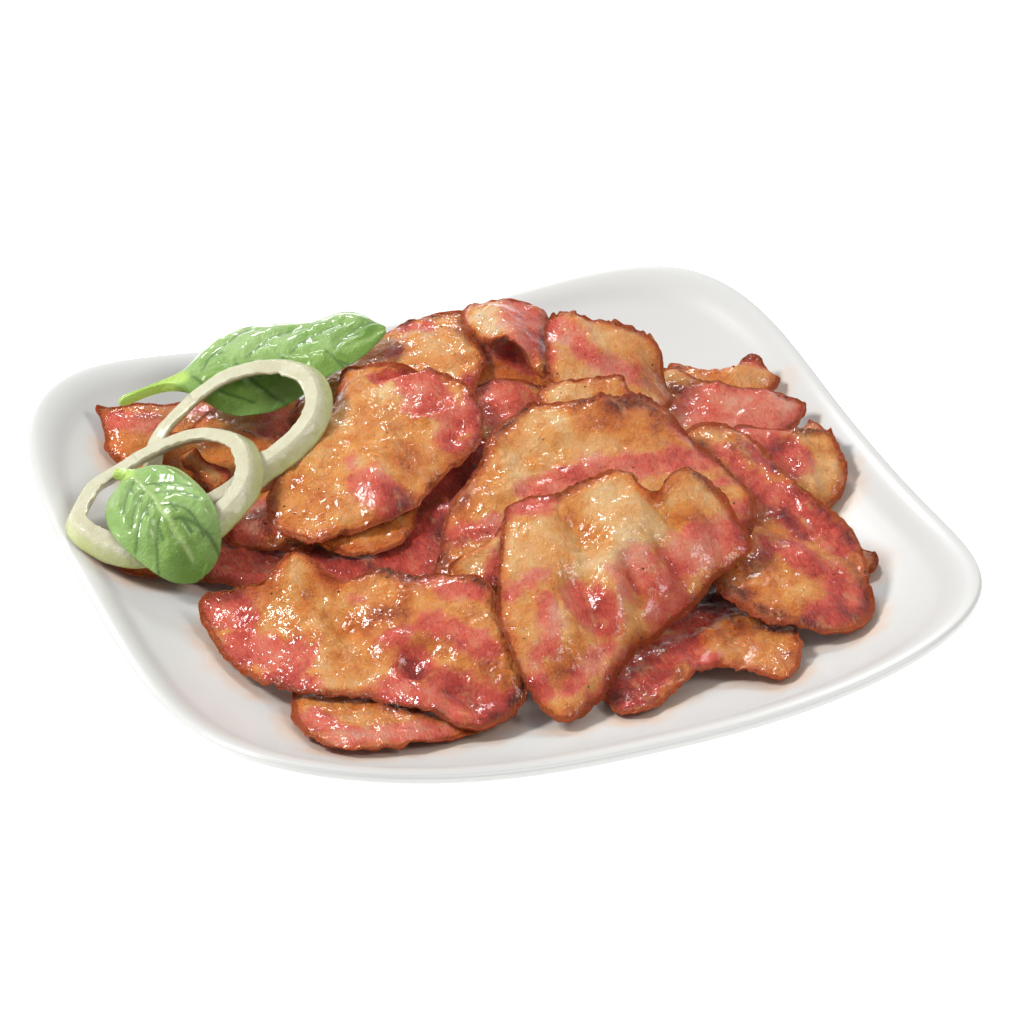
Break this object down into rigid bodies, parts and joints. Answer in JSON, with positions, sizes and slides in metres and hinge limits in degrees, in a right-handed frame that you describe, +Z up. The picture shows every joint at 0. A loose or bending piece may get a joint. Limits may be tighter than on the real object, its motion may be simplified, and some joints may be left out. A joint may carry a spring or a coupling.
{
  "type": "plate of fried bacon slices",
  "caption": "Fried bacon slices heaped on a square white plate, garnished with onion rings and spinach leaves.",
  "frame": {"origin": "middle of the plate's foot, on the surface it stands on", "axes": "+Z up, X and Y along the plate's sides, the front of the heap towards -Y"},
  "size_m": [0.236, 0.236, 0.0513],
  "materials": {
    "porcelain": "glossy white glaze",
    "bacon_fatty": "fried, golden to brown fat, glossy with oil",
    "bacon_lean": "fried, red-brown lean meat, glossy with oil",
    "onion": "raw, moist and translucent",
    "spinach": "raw leaf, satin"
  },
  "bodies": {
    "root": {"onion_ring_large": "onion", "onion_ring_small": "onion", "plate": "porcelain", "slice_back_brown": "bacon_fatty", "slice_back_left": "bacon_fatty", "slice_back_left_base": "bacon_fatty", "slice_back_low": "bacon_fatty", "slice_back_middle": "bacon_lean", "slice_back_right": "bacon_fatty", "slice_back_right_far": "bacon_fatty", "slice_back_right_lean": "bacon_lean", "slice_centre": "bacon_fatty", "slice_centre_flap": "bacon_fatty", "slice_front_left": "bacon_fatty", "slice_front_left_base": "bacon_lean", "slice_front_right": "bacon_fatty", "slice_front_right_base": "bacon_lean", "slice_golden_edge": "bacon_fatty", "slice_left_base": "bacon_lean", "slice_left_pink": "bacon_lean", "slice_low_dark": "bacon_fatty", "slice_mid_lean": "bacon_lean", "slice_mid_left": "bacon_fatty", "slice_mid_left_under": "bacon_fatty", "slice_right": "bacon_lean", "slice_right_curl": "bacon_fatty", "slice_right_tip": "bacon_lean", "slice_small_wavy": "bacon_lean", "spinach_leaf_large": "spinach", "spinach_leaf_small": "spinach"}
  },
  "joints": []
}
